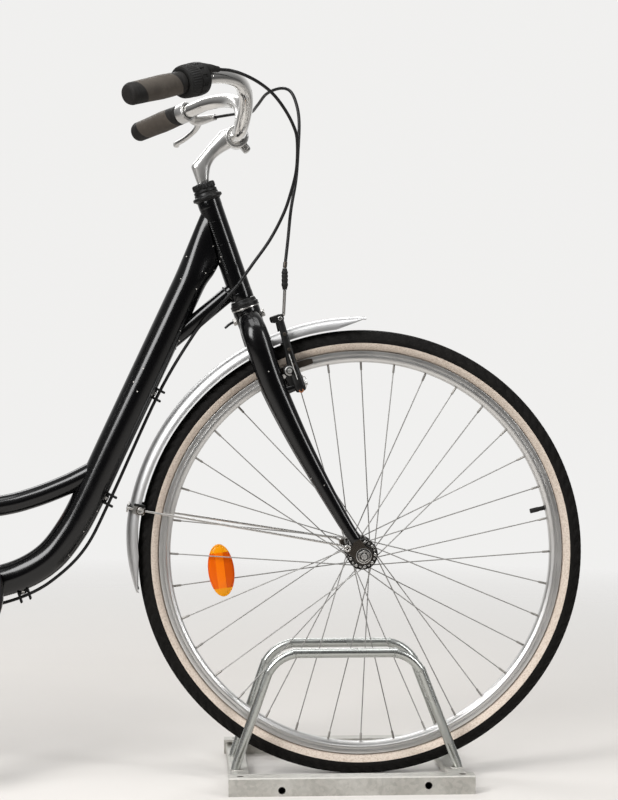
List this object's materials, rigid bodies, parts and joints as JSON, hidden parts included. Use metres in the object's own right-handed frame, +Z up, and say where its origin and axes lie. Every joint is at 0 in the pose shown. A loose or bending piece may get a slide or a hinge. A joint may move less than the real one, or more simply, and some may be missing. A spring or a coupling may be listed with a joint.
{
  "type": "city bicycle in a floor stand",
  "caption": "City bicycle with a low-step frame, swept handlebar, mudguards and rear carrier, its front wheel standing in a hooped floor stand.",
  "frame": {"origin": "on the floor, under the middle of the whole length and width", "axes": "+X forward, +Y to the rider's left, +Z up"},
  "size_m": [1.8411, 0.672, 1.0879],
  "materials": {
    "black_paint": "black gloss paint",
    "black_plastic": "black plastic",
    "cable_sleeve": "black cable sleeve",
    "grip_rubber": "black rubber with a brown inlay",
    "tyre_rubber": "black tyre with a sidewall line",
    "saddle_cover": "black padded cover",
    "silver_alloy": "satin silver",
    "bright_steel": "bright plated steel",
    "guard_steel": "silver mudguard",
    "hub_steel": "steel hub and spokes",
    "dark_steel": "oiled dark steel",
    "galvanised": "galvanised steel",
    "amber_reflector": "amber reflector",
    "red_lamp": "red lens"
  },
  "bodies": {
    "front_end": {"fork": "black_paint", "headset_locknut": "black_plastic", "stem": "silver_alloy", "handlebar": "bright_steel", "grip_left": "grip_rubber", "grip_right": "grip_rubber", "twist_shifter": "black_plastic", "brake_lever": "silver_alloy", "brake_arm_right": "black_paint", "brake_arm_left": "black_paint", "brake_shoe_right": "grip_rubber", "brake_shoe_left": "grip_rubber", "brake_noodle": "bright_steel", "noodle_boot": "grip_rubber", "brake_cable": "cable_sleeve", "shift_cable_front": "cable_sleeve", "front_axle": "bright_steel", "front_mudguard": "guard_steel", "front_stays": "bright_steel", "stand_base": "galvanised", "stand_hoop_right": "galvanised", "stand_hoop_left": "galvanised"},
    "frame": {"frame": "black_paint", "headset_lower": "black_plastic", "headset_upper": "black_plastic", "seat_post": "silver_alloy", "seat_clamp": "black_plastic", "saddle": "saddle_cover", "saddle_frame": "bright_steel", "chain": "dark_steel", "chain_guard": "black_paint", "rear_carrier": "black_paint", "tail_lamp": "red_lamp", "rear_mudguard": "guard_steel", "shift_cable_frame": "cable_sleeve", "rear_axle": "bright_steel", "coaster_arm": "silver_alloy", "shift_joint": "black_plastic", "rear_stays_upper": "bright_steel", "rear_stays_lower": "bright_steel"},
    "front_wheel": {"front_tyre": "tyre_rubber", "front_rim": "silver_alloy", "front_hub_and_spokes": "hub_steel", "front_reflector": "amber_reflector"},
    "rear_wheel": {"rear_tyre": "tyre_rubber", "rear_rim": "silver_alloy", "rear_hub_and_spokes": "hub_steel", "rear_reflector": "amber_reflector", "sprocket": "dark_steel"},
    "cranks": {"crank_spindle": "bright_steel", "chainring": "silver_alloy", "crank_right": "silver_alloy", "crank_left": "silver_alloy"},
    "pedal_right": {"pedal_right_body": "black_plastic"},
    "pedal_left": {"pedal_left_body": "black_plastic"},
    "side_stand": {"side_stand": "hub_steel"}
  },
  "joints": [
    {"name": "steering", "type": "hinge", "parent": "front_end", "child": "frame", "pos_m": [0.3867, 0, 0.74589], "axis": [-0.3256, 0, 0.9455], "range_deg": [-60, 60], "deforming": ["shift_cable_front"]},
    {"name": "front_wheel_spin", "type": "hinge", "parent": "front_end", "child": "front_wheel", "pos_m": [0.572, 0, 0.349], "axis": [0, 1, 0], "continuous": true},
    {"name": "rear_wheel_spin", "type": "hinge", "parent": "frame", "child": "rear_wheel", "pos_m": [-0.548, 0, 0.349], "axis": [0, 1, 0], "continuous": true},
    {"name": "crank_spin", "type": "hinge", "parent": "frame", "child": "cranks", "pos_m": [-0.073, 0, 0.292], "axis": [0, 1, 0], "continuous": true},
    {"name": "pedal_right_spin", "type": "hinge", "parent": "cranks", "child": "pedal_right", "pos_m": [-0.073, -0.128, 0.122], "axis": [0, 1, 0], "continuous": true},
    {"name": "pedal_left_spin", "type": "hinge", "parent": "cranks", "child": "pedal_left", "pos_m": [-0.073, 0.128, 0.462], "axis": [0, 1, 0], "continuous": true},
    {"name": "side_stand_fold", "type": "hinge", "parent": "frame", "child": "side_stand", "pos_m": [-0.473, 0.088, 0.287], "axis": [-0.0222, -0.9413, -0.3369], "range_deg": [0, 97]}
  ]
}
